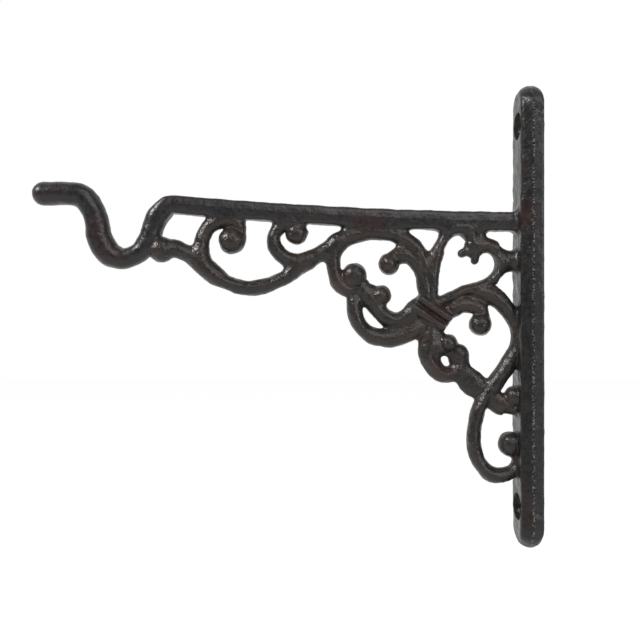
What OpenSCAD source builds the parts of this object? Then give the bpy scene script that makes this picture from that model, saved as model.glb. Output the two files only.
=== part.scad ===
// A cast-iron scroll bracket for a wall, whose arm ends in an upturned hook.
// The wall is the plane X = 0, the arm reaches towards -X, and the scrollwork is centred on Y = 0.
// The origin is on the wall, midway between the two screw holes. All sizes are in millimetres.

/* [Wall plate] */
// Height of the wall plate
plate_h = 225; // [215:1:240]
// Width of the wall plate
plate_w = 24; // [21:0.5:28]
// Thickness of the wall plate at its shoulders
plate_t = 11; // [10:0.5:13]
// How far the crest stands above the plate's shoulders
crest_rise = 0.6; // [0.3:0.1:1.2]
// Radius of the plate's front edges
plate_front_r = 6; // [4:0.5:7]
// Radius of the plate's back edges
plate_back_r = 1; // [0.5:0.5:2.5]

/* [Screw holes] */
// Distance between the two screw holes
screw_spacing = 185; // [170:1:195]
// Diameter of the screw holes
screw_hole_d = 5.5; // [4:0.5:6.5]
// Diameter of the countersinks at the plate's face
screw_head_d = 11.8; // [10:0.2:13]

/* [Arm] */
// Length of the arm from the plate's face to the root of the hook
arm_len = 168; // [155:1:185]
// Height of the arm's underside at the plate, above the middle of the screw holes
arm_z = 41.5; // [36:0.5:48]
// Height of the arm's section at the plate
arm_h = 8.9; // [7.5:0.1:10]
// Height of the arm's section at its outer end
arm_end_h = 8.5; // [7:0.1:10]
// Depth of the arm's section, from front to back
arm_d = 10; // [8.5:0.5:12]
// How much higher the arm's outer end is than its inner end
arm_rise = 8.7; // [4:0.1:13]

/* [Hook] */
// Diameter of the hook's rod
rod_d = 11.5; // [10:0.1:13]
// Distance from the arm's end to the middle of the hook's inner leg
hook_lead = 9; // [8:0.5:11]
// Distance between the middles of the hook's two legs
hook_gap = 27; // [24:0.5:32]
// Depth of the hook's saddle below the arm's end
hook_drop = 26; // [22:0.5:32]
// Height of the hook's tip above the arm's end
tip_up = 5.5; // [2:0.5:9]
// Length of the tip beyond the hook's outer leg
tip_len = 32; // [24:1:40]

/* [Scroll bars] */
// Height of the scrollwork, from the arm's underside to the lowest bar
scroll_drop = 119; // [110:1:128]
// Usual width of a scroll bar, seen from the front
bar_w = 7; // [6:0.1:8]
// Depth of a scroll bar, from front to back
bar_d = 8.5; // [7:0.5:10]
// Diameter of the stub between the heart and the plate
stub_d = 9.8; // [8:0.2:11]

/* [Scroll balls] */
// Diameter of the knuckle beside the hook
knuckle_d = 12.7; // [11:0.1:14]
// Diameter of the ball in the bowl of the wave
bowl_ball_d = 13.2; // [11.5:0.1:14.5]
// Diameter of the ball in the small crook
crook_ball_d = 10.7; // [9:0.1:12]
// Diameter of the ball on the hanging scroll
hanging_ball_d = 12.7; // [11:0.1:14]
// Diameter of the knob beside the hanging ball
knob_d = 9.8; // [8.5:0.1:11]
// Diameter of the bud inside the arch
bud_d = 10.1; // [8.5:0.1:11.5]
// Diameter of the drop below the heart
drop_d = 11; // [9.5:0.1:12.5]
// Diameter of the ball that rests on the plate
rest_ball_d = 10.3; // [9:0.1:11.5]
// Diameter of the ball at the foot of the spine scroll
foot_ball_d = 12.4; // [11:0.1:14]
// Diameter of the ball inside the ring
ring_ball_d = 9.1; // [8:0.1:10]
// Diameter of the two tips inside the heart
heart_tip_d = 3.6; // [3:0.1:4.5]

/* [Collar] */
// Length of the collar's two ribs
collar_len = 20; // [18:0.5:23]
// Depth of the collar, from front to back
collar_d = 12; // [10.5:0.5:14]
// Distance from one rib of the collar to the other
rib_pitch = 5.3; // [4.8:0.1:5.8]
// Angle of the ribs below the horizontal
collar_angle = 35; // [30:1:40]

/* [Hidden] */

// Number of sides of a bar's section, and of rings between two points of its path
sides = 12;
steps = 3;
// How square the arm is and how ridged a bar is: 1 is an ellipse, less is squarer, more is sharper
arm_form = 0.35;
rod_form = 1;
bar_form = 1.1;
// Depth of the collar's web as a share of the ribs' depth
web_share = 0.85;
// How far a piece runs into the one that cuts it
root = 4;
// How far round the plate's front edges turn before the crest's slope takes over
front_angle = 85;

// The scrollwork is drawn on a field: the first number of a point is its distance out from the
// field's edge, just inside the plate's face, the second its distance below the arm's underside
// straight above it, and the third the bar's width there as a share of bar_w. How far inside the
// face the edge is comes first, then the field's own reach and drop.
field_sunk = 1;
field_out = 169;
field_down = 119;

// Where the balls, the stub and the collar sit on the field
knuckle_at = [field_out + 0.55 * hook_lead, 18];
bowl_ball_at = [139.5, 10.5];
crook_ball_at = [108, 5];
hanging_ball_at = [80, 24];
knob_at = [67, 33];
bud_at = [63, 17.5];
drop_at = [18.5, 45.5];
rest_ball_at = [1.5, 80.5];
foot_ball_at = [3.5, 103.5];
ring_ball_at = [34, 55];
stub_at = [9, 14.5];
collar_at = [42.5, 40.5];

// The wave runs on into the arch, on one path, and the arch starts at this point of it
arch_index = 9;
top_path = [concat(knuckle_at, 1), [167.5, 17, 1.3], [160, 20, 1.05], [152.5, 26, 1.05],
    [141.5, 31.5, 1], [129, 33, 1.05], [114, 27, 1], [104, 19, 1.1], [93.5, 12, 1.1], [83, 5, 1.25],
    [71.5, 2.5, 1.05], [60.5, 3, 1.05], [51.5, 7.5, 1.05], [46.5, 14, 0.95], [44, 22, 0.7],
    [44, 38, 0.5]];
bowl_path = [[147.5, 28, 1], [152.5, 23, 1.1], [154.5, 17, 1.1], [154, 11, 1.05], [151, 5, 1.05],
    [146.5, 2, 1.1], [140.5, 1, 1.1], [136, 3, 0.9], [134.5, 6.5, 0.55], [134.5, 10, 0.35]];
crook_path = [[103.5, 18, 0.9], [109, 18.5, 1.1], [114.5, 16.5, 1], [118.5, 12, 1], [119, 6.5, 0.9],
    [115.5, 1.5, 1], [111.5, 0.5, 1.05], [107, 1, 0.85], [104, 3.5, 0.5]];
hanging_path = [[88, 8.5, 1], [90, 15, 1], [89.5, 22, 1], [87.5, 28, 1.05], [83, 31, 0.95],
    [78.5, 30.5, 0.85], [76, 27.5, 0.6]];
bud_path = [[63, 15.5, 0.9], [58, 13, 1.2], [53, 13.5, 1.1], [49.5, 17.5, 0.9], [47.5, 23, 0.7],
    [46.5, 29.5, 0.65], [45.5, 37, 0.55]];
left_path = [[41, 39, 0.5], [41, 27, 0.6], [40.5, 18, 0.8], [39.5, 11.5, 0.95], [38, 7.5, 0.85],
    [34, 2.5, 0.75], [29.5, 0, 0.7], [25.5, 1.5, 0.85], [23, 5, 0.75], [24, 9, 0.65], [27.5, 11.5, 0.4]];
right_path = [[42.5, 39, 0.65], [36, 34, 0.65], [31, 31.5, 0.75], [25.5, 29, 0.75], [18.5, 27, 0.75],
    [12.5, 23.5, 0.75], [9, 18.5, 0.7], [9, 13, 0.75], [11.5, 9, 0.9], [15, 7, 1.05], [19, 8, 0.9],
    [20.5, 11, 0.65], [21, 14, 0.4]];
stem_path = [[19.5, -2.5, 1.25], [19.5, 2, 1.05], [20.5, 7.5, 0.9]];
knob_path = [[75.5, 30, 1], [72, 34.5, 1.35], [68, 40, 1.1], [63.5, 44, 1.2], [59, 44.5, 1.1],
    [54.5, 42, 1.4], [50.5, 38, 1.55], [46, 35, 1.1]];
knob_neck = [[73, 32.5, 1.2], [67, 33, 1.2]];
outer_path = [[79.5, 30.5, 0.75], [80, 36.5, 1.05], [79, 44, 1.1], [75, 50, 1.1], [69.5, 53, 1.2],
    [62.5, 53.5, 1.35], [56, 51.5, 1.25], [50.5, 49, 1.25], [45, 44, 1.1]];
spine_path = [[26.5, 29.5, 0.35], [21, 29.5, 0.75], [15.5, 30, 1.25], [10.5, 32.5, 1.35],
    [6.5, 36.5, 1.15], [2.5, 42, 1.05], [0, 48.5, 1.05], [0.5, 56.5, 1.1], [5, 65, 1.15],
    [11.5, 74.5, 1.2], [18, 84, 1.05], [21, 94, 1], [21.5, 104, 1], [19, 112.5, 1], [14, 118, 1.1],
    [8, 119, 1.05], [2.5, 116.5, 0.9], [0.5, 111.5, 0.75], [2, 107, 0.75]];
drop_path = [[40.5, 43.5, 0.9], [32, 38.5, 1.1], [27, 36, 1.15], [21.5, 36.5, 1.1],
    [18, 39, 1.05], [17, 43.5, 0.85]];
rest_path = [[16.5, 78, 1.25], [10, 83.5, 1.5], [6, 84.5, 1.45], [2, 86.5, 0.85], [-3, 86.5, 0.65]];
ring_path = [[42.5, 44.5, 1.4], [42.5, 50, 1.9], [42.5, 55, 2], [43.5, 60, 1.6], [42, 65, 1.35],
    [38, 69.5, 1.2], [33, 70, 1.2], [29, 67, 1.45], [28.5, 61, 1.4], [32, 57.5, 1]];
ring_web = [[31.5, 58, 1], [37.5, 57.8, 0.9]];
strut_path = [[27.5, 68.5, 1.35], [23, 73.5, 1.75], [17.5, 77.5, 1.55]];

iron = "#3b3634";
iron_smooth = "#454140";
iron_rough = "#35302e";

// Height of the arm above its inner end, at a share s of its length
function rise(s) = arm_rise * pow(max(s, 0), 1.8);
// Where a point of the field lies on the real bracket: [x, z]
function on_field(p) = [-(plate_t - field_sunk + p[0] * (arm_len + field_sunk) / field_out),
    arm_z + rise(p[0] / field_out) - p[1] * scroll_drop / field_down];

// One point of a smooth curve through b and c, at a share t of the way, with neighbours a and d
function curve_point(a, b, c, d, t) =
    b + 0.5 * t * ((c - a) + t * ((2 * a - 5 * b + 4 * c - d) + t * (3 * b - a - 3 * c + d)));
// A smooth curve through all points of p, with n steps between one and the next
function smooth(p, n) = [for (i = [0 : len(p) - 2], k = [0 : n - 1])
    curve_point(i > 0 ? p[i - 1] : 2 * p[0] - p[1], p[i], p[i + 1],
        i + 2 < len(p) ? p[i + 2] : 2 * p[i + 1] - p[i], k / n), p[len(p) - 1]];

// A power that keeps the sign
function signed_pow(v, e) = sign(v) * pow(abs(v), e);
// One ring of a bar: s is [x, z, width, depth, form] and t is the direction of travel
function ring(s, t) = [for (k = [0 : sides - 1])
    let (across = s[2] / 2 * signed_pow(cos(360 * k / sides), s[4]),
        deep = s[3] / 2 * signed_pow(sin(360 * k / sides), s[4]))
    [s[0] - t[1] * across, deep, s[1] + t[0] * across]];
function heading(c, i) =
    let (a = c[max(i - 1, 0)], b = c[min(i + 1, len(c) - 1)], v = [b[0] - a[0], b[1] - a[1]])
    v / norm(v);
function rings(c) = [for (i = [0 : len(c) - 1]) ring(c[i], heading(c, i))];

// A closed skin over a row of rings
module skin(r) {
    n = len(r[0]);
    last = (len(r) - 1) * n;
    polyhedron(
        points = [for (one = r, p = one) p],
        faces = [[for (k = [n - 1 : -1 : 0]) k], [for (k = [0 : n - 1]) last + k],
            for (i = [0 : len(r) - 2], k = [0 : n - 1], half = [0, 1])
                let (a = i * n + k, b = i * n + (k + 1) % n)
                half == 0 ? [a, b, a + n] : [b, b + n, a + n]]);
}

// The stations of a scroll bar: its path on the field, turned to real places, widths and depths
function stations(path) = smooth([for (p = path)
    concat(on_field(p), [bar_w * p[2], bar_d * min(sqrt(p[2]), 1.05), bar_form])], steps);

// A scroll bar along a path, or its stretch from one point of the path to another
module bar(path, first = 0, last = -1) {
    all = rings(stations(path));
    end = last < 0 ? len(path) - 1 : last;
    skin([for (i = [first * steps : end * steps]) all[i]]);
}

module ball(at, d) {
    translate([on_field(at)[0], 0, on_field(at)[1]])
        sphere(d = d, $fn = 48);
}

// An arc as a list of points
function arc(cx, cy, r, from, to, n) =
    [for (i = [0 : n]) let (a = from + (to - from) * i / n) [cx + r * cos(a), cy + r * sin(a)]];
// Half of the plate's section: distance from its middle line, height above the wall
plate_half = concat([[0, 0]],
    arc(plate_w / 2 - plate_back_r, plate_back_r, plate_back_r, -90, 0, 3),
    arc(plate_w / 2 - plate_front_r, plate_t - plate_front_r, plate_front_r, 0, front_angle, 5),
    [[0, plate_t + crest_rise]]);

module plate_body() {
    straight = plate_h - plate_w;
    rotate([0, -90, 0]) {
        translate([-straight / 2, 0, 0])
            rotate([90, 0, 90])
                linear_extrude(straight)
                    polygon(concat(plate_half, [for (i = [len(plate_half) - 2 : -1 : 1])
                        [-plate_half[i][0], plate_half[i][1]]]));
        for (end = [0, 1])
            rotate([0, 0, 180 * end])
                translate([straight / 2, 0, 0])
                    rotate([0, 0, -90])
                        rotate_extrude(angle = 180, $fn = 64)
                            polygon(plate_half);
    }
}

module screw_hole() {
    sink = (screw_head_d - screw_hole_d) / 2;
    rotate([0, -90, 0]) {
        translate([0, 0, -1])
            cylinder(d = screw_hole_d, h = plate_t + 2, $fn = 48);
        translate([0, 0, plate_t - sink])
            cylinder(d1 = screw_hole_d, d2 = screw_head_d, h = sink, $fn = 48);
        translate([0, 0, plate_t])
            cylinder(d = screw_head_d, h = crest_rise + 1, $fn = 48);
    }
}

// The arm, from inside the plate to the root of the hook
arm_steps = 10;
arm_line = [for (i = [0 : arm_steps])
    let (s = i / arm_steps, h = arm_h + s * (arm_end_h - arm_h))
    [-(plate_t - root + s * (arm_len + root)), arm_z + h / 2 + rise(s), h, arm_d, arm_form]];

module arm_body() {
    skin(rings(arm_line));
}

// The hook goes on from the arm's last ring: a point is [out, up, swell], where the swell
// takes the section from the arm's size, at 0, to the rod's, at 1
leg_out = hook_lead + hook_gap;
hook_path = [[0, 0, 0], [0.23 * hook_lead, -0.025 * hook_drop, 0.2],
    [0.46 * hook_lead, -0.1 * hook_drop, 0.5], [0.8 * hook_lead, -0.24 * hook_drop, 0.75],
    [hook_lead, -0.4 * hook_drop, 0.7], [hook_lead + 0.08 * hook_gap, -0.65 * hook_drop, 0.65],
    [hook_lead + 0.25 * hook_gap, -0.89 * hook_drop, 0.4], [hook_lead + 0.5 * hook_gap, -hook_drop, 0.55],
    [hook_lead + 0.67 * hook_gap, -0.98 * hook_drop, 0.95], [leg_out - 0.18 * hook_gap, -0.89 * hook_drop, 1.3],
    [leg_out - 0.03 * hook_gap, -0.62 * hook_drop, 1.3], [leg_out, -0.42 * hook_drop, 1.15],
    [leg_out + 1.4, -0.2 * hook_drop, 1], [leg_out + 3, -0.25 * tip_up, 1],
    [leg_out + 7, 0.65 * tip_up, 1], [leg_out + 13, tip_up, 1],
    [leg_out + tip_len - rod_d / 2, tip_up, 1]];
hook_line = smooth([for (p = hook_path)
    [-(plate_t + arm_len) - p[0], arm_z + arm_end_h / 2 + arm_rise + p[1],
        arm_end_h + (rod_d - arm_end_h) * p[2], arm_d + (rod_d - arm_d) * p[2],
        arm_form + (rod_form - arm_form) * min(p[0] / hook_lead, 1)]], steps);
// The rounded end of the rod, as rings that shrink over half a ball
tip_rings = 4;
tip_line = [for (i = [1 : tip_rings])
    let (a = 85 * i / tip_rings)
    [hook_line[len(hook_line) - 1][0] - rod_d / 2 * sin(a), hook_line[len(hook_line) - 1][1],
        rod_d * cos(a), rod_d * cos(a), rod_form]];

// The whole hook, or its stretch up to one point of its path
module hook_body(last = -1) {
    own = rings(concat(hook_line, tip_line));
    end = last < 0 ? len(own) - 1 : last * steps;
    skin([for (i = [0 : end]) i == 0 ? rings(arm_line)[arm_steps] : own[i]]);
}

// The collar: two ribs side by side and the web between them, each a short bar with rounded ends
module collar_body() {
    middle = on_field(collar_at);
    along = [cos(collar_angle), -sin(collar_angle)];
    aside = [sin(collar_angle), cos(collar_angle)];
    for (side = [-0.5, 0, 0.5])
        skin(rings([for (s = [-1, -0.97, -0.85, -0.4, 0.4, 0.85, 0.97, 1])
            let (c = middle + along * (s * collar_len / 2) + aside * (side * rib_pitch),
                full = pow(1 - pow(abs(s), 6) * 0.85, 0.6),
                deep = side == 0 ? web_share * collar_d : collar_d)
            [c[0], c[1], rib_pitch * 1.15 * full, deep * full, rod_form]]));
}

module wave_body() {
    bar(top_path, 0, arch_index);
    ball(knuckle_at, knuckle_d);
}

module arch_body() {
    bar(top_path, arch_index);
}

module bud_body() {
    bar(bud_path);
    ball(bud_at, bud_d);
}

module left_body() {
    bar(left_path);
    ball(left_path[len(left_path) - 1], heart_tip_d);
}

module right_body() {
    bar(right_path);
    ball(right_path[len(right_path) - 1], heart_tip_d);
}

module hanging_body(first = 0) {
    bar(hanging_path, first);
    ball(hanging_ball_at, hanging_ball_d);
}

module knob_body() {
    bar(knob_path);
    bar(knob_neck);
    ball(knob_at, knob_d);
}

module spine_body() {
    bar(spine_path);
    ball(foot_ball_at, foot_ball_d);
}

module ring_body() {
    bar(ring_path);
    bar(ring_web);
    ball(ring_ball_at, ring_ball_d);
}

module wall_plate() {
    color(iron_rough)
        difference() {
            plate_body();
            for (side = [-1, 1])
                translate([0, 0, side * screw_spacing / 2])
                    screw_hole();
        }
}

module arm_bar() {
    color(iron_smooth)
        difference() {
            arm_body();
            plate_body();
        }
}

module hook_rod() {
    color(iron_smooth)
        hook_body();
}

module collar() {
    color(iron)
        collar_body();
}

module wave_scroll() {
    color(iron)
        difference() {
            wave_body();
            hook_body(8);
            arm_body();
        }
}

module arch_scroll() {
    color(iron)
        difference() {
            arch_body();
            arm_body();
            collar_body();
        }
}

module bowl_scroll() {
    color(iron)
        difference() {
            union() {
                bar(bowl_path);
                ball(bowl_ball_at, bowl_ball_d);
            }
            arm_body();
            bar(top_path, 2, 6);
        }
}

module crook_scroll() {
    color(iron)
        difference() {
            union() {
                bar(crook_path);
                ball(crook_ball_at, crook_ball_d);
            }
            arm_body();
            bar(top_path, 5, arch_index);
        }
}

module hanging_scroll() {
    color(iron)
        difference() {
            hanging_body();
            bar(top_path, 6, 12);
        }
}

module heart_left() {
    color(iron)
        difference() {
            left_body();
            arm_body();
            arch_body();
            collar_body();
        }
}

module heart_right() {
    color(iron)
        difference() {
            right_body();
            left_body();
            collar_body();
        }
}

module heart_stem() {
    color(iron)
        difference() {
            bar(stem_path);
            arm_body();
            bar(left_path, 5, 9);
            bar(right_path, 7, 12);
        }
}

module bud_scroll() {
    color(iron)
        difference() {
            bud_body();
            arch_body();
            collar_body();
        }
}

module knob_scroll() {
    color(iron)
        difference() {
            knob_body();
            hanging_body(3);
            collar_body();
            bar(bud_path, 3);
        }
}

module outer_scroll() {
    color(iron)
        difference() {
            bar(outer_path);
            hanging_body(3);
            knob_body();
            collar_body();
        }
}

module wall_stub() {
    at = on_field(stub_at);
    color(iron)
        difference() {
            translate([at[0], 0, at[1]])
                rotate([0, 90, 0])
                    cylinder(d = stub_d, h = -at[0] - plate_t + root, $fn = 48);
            plate_body();
            bar(right_path, 5, 9);
        }
}

module spine_scroll() {
    color(iron)
        difference() {
            spine_body();
            plate_body();
            bar(right_path, 1, 7);
        }
}

module drop_scroll() {
    color(iron)
        difference() {
            union() {
                bar(drop_path);
                ball(drop_at, drop_d);
            }
            collar_body();
            bar(right_path, 0, 6);
            bar(spine_path, 0, 5);
        }
}

module rest_scroll() {
    color(iron)
        difference() {
            union() {
                bar(rest_path);
                ball(rest_ball_at, rest_ball_d);
            }
            plate_body();
            bar(spine_path, 7, 12);
        }
}

module ring_scroll() {
    color(iron)
        difference() {
            ring_body();
            collar_body();
            bar(knob_path, 4);
            bar(outer_path, 5);
        }
}

module ring_strut() {
    color(iron)
        difference() {
            bar(strut_path);
            bar(ring_path, 4);
            bar(spine_path, 7, 12);
        }
}

wall_plate();
arm_bar();
hook_rod();
collar();
wave_scroll();
arch_scroll();
bowl_scroll();
crook_scroll();
hanging_scroll();
knob_scroll();
outer_scroll();
bud_scroll();
heart_left();
heart_right();
heart_stem();
wall_stub();
spine_scroll();
drop_scroll();
rest_scroll();
ring_scroll();
ring_strut();
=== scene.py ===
# %% [markdown]
# A scroll bracket in cast iron
#
# The real object is a wall bracket about 247 mm long and 225 mm high. It was poured in one go, but its
# pattern imitates a smith's work: a wall plate, a straight arm that ends in a hook, and a filling of
# scrolls that a collar ties together. A casting is never crisp. Where two bars meet the iron runs
# together in a soft fillet, every surface is a little uneven, and old wax and rust give it its colour.
#
# The plan of this lesson is to rebuild every bar as a fine surface along the same path as in the fixed
# frame, to describe the whole casting by one distance field, and to let each surface settle on that
# field. The fillets then come by themselves, and each bar stays a piece of its own.

import bpy
import numpy as np
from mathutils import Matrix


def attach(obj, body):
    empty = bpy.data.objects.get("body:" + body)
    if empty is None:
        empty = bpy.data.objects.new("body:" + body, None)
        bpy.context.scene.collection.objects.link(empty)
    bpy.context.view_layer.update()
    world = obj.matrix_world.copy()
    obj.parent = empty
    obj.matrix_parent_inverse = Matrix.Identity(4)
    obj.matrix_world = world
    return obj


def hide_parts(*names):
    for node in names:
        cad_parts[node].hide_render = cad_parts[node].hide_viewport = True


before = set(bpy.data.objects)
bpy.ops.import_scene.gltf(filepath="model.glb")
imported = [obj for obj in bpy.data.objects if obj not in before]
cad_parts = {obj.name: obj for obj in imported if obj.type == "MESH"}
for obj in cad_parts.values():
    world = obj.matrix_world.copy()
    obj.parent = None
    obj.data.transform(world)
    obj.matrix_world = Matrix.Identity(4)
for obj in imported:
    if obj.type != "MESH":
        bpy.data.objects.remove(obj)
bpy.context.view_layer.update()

MM = 0.001

# %% [markdown]
# The camera
#
# A photograph of a flat object gives its scale directly: in the plane of the scrolls, 2.048 pixels are
# one millimetre. The side of the wall plate shows how close the camera stood, because it is seen a
# little from the left. Distance, scale and image size together give the lens. The camera looks
# straight at the scrolls, so it needs no tilt and no shift.

# %% Camera
PHOTO_PX = 640
ORIGIN_PX = (538.4, 316.5)
PX_PER_MM = 2.048
CAMERA_BACK_MM = 410.0
SENSOR_MM = 36.0

camera_data = bpy.data.cameras.new("photo_view")
camera_data.sensor_width = SENSOR_MM
camera_data.lens = SENSOR_MM * PX_PER_MM * CAMERA_BACK_MM / PHOTO_PX
camera = bpy.data.objects.new("photo_view", camera_data)
camera.location = (
    (PHOTO_PX / 2 - ORIGIN_PX[0]) / PX_PER_MM * MM,
    -CAMERA_BACK_MM * MM,
    (ORIGIN_PX[1] - PHOTO_PX / 2) / PX_PER_MM * MM,
)
camera.rotation_euler = (np.pi / 2, 0, 0)
scene = bpy.context.scene
scene.collection.objects.link(camera)
scene.camera = camera
print("lens in mm:", round(camera_data.lens, 2))

# %% [markdown]
# Sizes
#
# These are the sizes of the fixed frame, in millimetres. The scrollwork is drawn on a field: the first
# number of a point is its distance out from the field's edge, which lies 1 mm deeper than the frame's
# plate face, the second its distance below the arm's underside straight above it, and the third the
# bar's width there as a share of the usual width. Writing paths down like this keeps every scroll tied
# to the arm, also where the arm rises. A form of 1 is a round section, a smaller one is squarer, and a
# crest is the share by which a section is lower at its sides than along its middle.

# %% Sizes of the bracket
PLATE_H, PLATE_W, PLATE_T, PLATE_BACK_R = 225.0, 24.0, 11.0, 1.0
SCREW_SPACING, SCREW_HOLE_D, SCREW_HEAD_D = 185.0, 5.5, 11.8
ARM_LEN, ARM_Z, ARM_H, ARM_END_H, ARM_D, ARM_RISE = 168.0, 41.5, 8.9, 8.5, 10.0, 8.7
ROD_D, HOOK_LEAD, HOOK_GAP, HOOK_DROP, TIP_UP, TIP_LEN = 11.5, 9.0, 27.0, 26.0, 5.5, 32.0
FIELD_OUT, FIELD_SUNK = 169.0, 1.0
BAR_W, BAR_D, STUB_D = 7.0, 8.5, 9.8
COLLAR_LEN, COLLAR_D, RIB_PITCH, COLLAR_ANGLE = 20.0, 12.0, 5.3, 35.0
ARM_FORM, ROD_FORM, BAR_FORM = 0.35, 1.0, 0.95
ARM_CREST, BAR_CREST = 0.14, 0.16
ROOT = 4.0

print("reach in mm:", PLATE_T + ARM_LEN + HOOK_LEAD + HOOK_GAP + TIP_LEN, "plate in mm:", PLATE_H, PLATE_W)

# %% Paths of the scrolls
KNUCKLE_AT = (FIELD_OUT + 0.55 * HOOK_LEAD, 18)
COLLAR_AT = (42.5, 40.5)
STUB_AT = (9, 14.5)
ARCH_INDEX = 9

PATHS = {
    "top": [(*KNUCKLE_AT, 1), (167.5, 17, 1.3), (160, 20, 1.05), (152.5, 26, 1.05), (141.5, 31.5, 1),
            (129, 33, 1.05), (114, 27, 1), (104, 19, 1.1), (93.5, 12, 1.1), (83, 5, 1.25),
            (71.5, 2.5, 1.05), (60.5, 3, 1.05), (51.5, 7.5, 1.05), (46.5, 14, 0.95), (44, 22, 0.7),
            (44, 38, 0.5)],
    "bowl": [(147.5, 28, 1), (152.5, 23, 1.1), (154.5, 17, 1.1), (154, 11, 1.05), (151, 5, 1.05),
             (146.5, 2, 1.1), (140.5, 1, 1.1), (136, 3, 0.9), (134.5, 6.5, 0.55), (134.5, 10, 0.35)],
    "crook": [(103.5, 18, 0.9), (109, 18.5, 1.1), (114.5, 16.5, 1), (118.5, 12, 1), (119, 6.5, 0.9),
              (115.5, 1.5, 1), (111.5, 0.5, 1.05), (107, 1, 0.85), (104, 3.5, 0.5)],
    "hanging": [(88, 8.5, 1), (90, 15, 1), (89.5, 22, 1), (87.5, 28, 1.05), (83, 31, 0.95),
                (78.5, 30.5, 0.85), (76, 27.5, 0.6)],
    "bud": [(63, 15.5, 0.9), (58, 13, 1.2), (53, 13.5, 1.1), (49.5, 17.5, 0.9), (47.5, 23, 0.7),
            (46.5, 29.5, 0.65), (45.5, 37, 0.55)],
    "left": [(41, 39, 0.5), (41, 27, 0.6), (40.7, 18, 0.8), (39.6, 11.5, 0.92), (38.2, 7.5, 0.8),
             (34.4, 2.1, 0.62), (29.5, -0.4, 0.55), (25.5, 0.7, 0.75), (22.6, 4.5, 0.9), (23.7, 8.7, 0.9),
             (27.4, 11.1, 0.42)],
    "right": [(42.5, 39, 0.65), (36, 34, 0.65), (31, 31.5, 0.75), (25.5, 29, 0.75), (18.5, 27, 0.75),
              (12.5, 23.5, 0.75), (9, 18.5, 0.7), (9, 13, 0.75), (11.5, 9, 0.9), (15, 7, 1.05),
              (19.2, 7.8, 1), (20.8, 11, 0.85), (21, 14.3, 0.4)],
    "stem": [(19.5, -2.5, 1.25), (19.5, 2, 1.05), (20.5, 7.5, 0.9)],
    "knob": [(75.5, 30, 1), (72, 34.5, 1.35), (68, 40, 1.1), (63.5, 44, 1.2), (59, 44.5, 1.1),
             (54, 42.5, 1.2), (50, 38.3, 1.25), (46, 35, 1.1)],
    "knob_neck": [(73, 32.5, 1.2), (67, 33, 1.2)],
    "outer": [(79.5, 30.5, 0.75), (80, 36.5, 1.05), (79, 44, 1.1), (75, 50, 1.1), (69.5, 53, 1.2),
              (62.5, 53.5, 1.35), (56, 51.5, 1.25), (50.5, 49, 1.25), (45, 44, 1.1)],
    "spine": [(26.5, 29.5, 0.35), (21, 29.5, 0.75), (15.5, 30, 1.25), (10.5, 32.5, 1.35),
              (6.5, 36.5, 1.15), (2.5, 42, 1.05), (0, 48.5, 1.05), (0.5, 56.5, 1.1), (5, 65, 1.15),
              (11.5, 74.5, 1.2), (18, 84, 1.05), (21, 94, 1), (21.5, 104, 1), (19, 112.5, 1),
              (14, 118, 1.1), (8, 119, 1.05), (2.5, 116.5, 0.9), (0.5, 111.5, 0.75), (2, 107, 0.75)],
    "drop": [(40.5, 43.5, 0.9), (32, 38.5, 1.1), (27, 36, 1.15), (21.5, 36.5, 1.1), (18, 39, 1.05),
             (17, 43.5, 0.85)],
    "rest": [(16.5, 78, 1.25), (10, 83.5, 1.5), (6, 84.5, 1.45), (2, 86.5, 0.85), (-3, 86.5, 0.65)],
    "ring": [(42.5, 44.5, 1.4), (42.5, 50, 1.9), (42.5, 55, 2), (43.9, 60, 1.45), (42.3, 65, 1.3),
             (38, 69.5, 1.2), (33, 70, 1.2), (29, 67, 1.4), (28.6, 62, 1.3)],
    "web": [(29.5, 59.5, 1.15), (33, 57.8, 1), (37.5, 57.8, 0.9)],
    "strut": [(27.5, 68.5, 1.35), (23, 73.5, 1.75), (17.5, 77.5, 1.55)],
}
BALLS = {
    "knuckle": (KNUCKLE_AT, 12.7),
    "bowl_ball": ((139.5, 10.5), 13.2),
    "crook_ball": ((108, 5), 10.7),
    "hanging_ball": ((80, 24), 12.7),
    "knob_ball": ((67, 33), 9.8),
    "bud_ball": ((63, 17.5), 10.1),
    "drop_ball": ((18.5, 45.5), 11.0),
    "rest_ball": ((1.5, 80.5), 10.3),
    "foot_ball": ((3.5, 103.5), 12.4),
    "ring_ball": ((34, 55), 9.1),
    "left_tip": (PATHS["left"][-1][:2], 3.4),
    "right_tip": (PATHS["right"][-1][:2], 3.2),
}
# Depths as shares of the usual one, and crests that differ.
BALL_DEPTHS = {"ring_ball": 1.3, "knob_ball": 1.2, "rest_ball": 1.15, "bud_ball": 1.1, "drop_ball": 1.12}
BAR_DEPTHS = {"strut": 0.72, "web": 0.8, "rest": 0.85, "stem": 0.85, "drop": 0.85, "ring": 1.06,
              "spine": 1.04}
BAR_CRESTS = {"ring": 0.42, "web": 0.3}
print("paths:", len(PATHS), "balls:", len(BALLS))

# %% The field of the scrollwork
RISE_POWER = 1.8


def rise(share):
    """Height of the arm above its inner end: the whole rise times a power of the share of its length."""
    return ARM_RISE * np.clip(share, 0, None) ** RISE_POWER


def on_field(out, down):
    """The x and z of a point of the field: out is counted from the field's edge, down from the arm."""
    out, down = np.asarray(out, float), np.asarray(down, float)
    return np.stack((-(PLATE_T - FIELD_SUNK + out), ARM_Z + rise(out / FIELD_OUT) - down), -1)


print("collar's middle in mm:", np.round(on_field(*COLLAR_AT), 1).tolist())

# %% [markdown]
# Smooth paths
#
# A path is a handful of points, and the real bar runs through them without a kink. A Catmull-Rom
# curve does that: it passes through every point, and its direction at a point is taken from the two
# neighbours. A Blender curve object would do as well, but here the numbers are wanted in arrays, with
# the width and depth carried along, and at equal steps of length, so that the mesh gets even faces.

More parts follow.
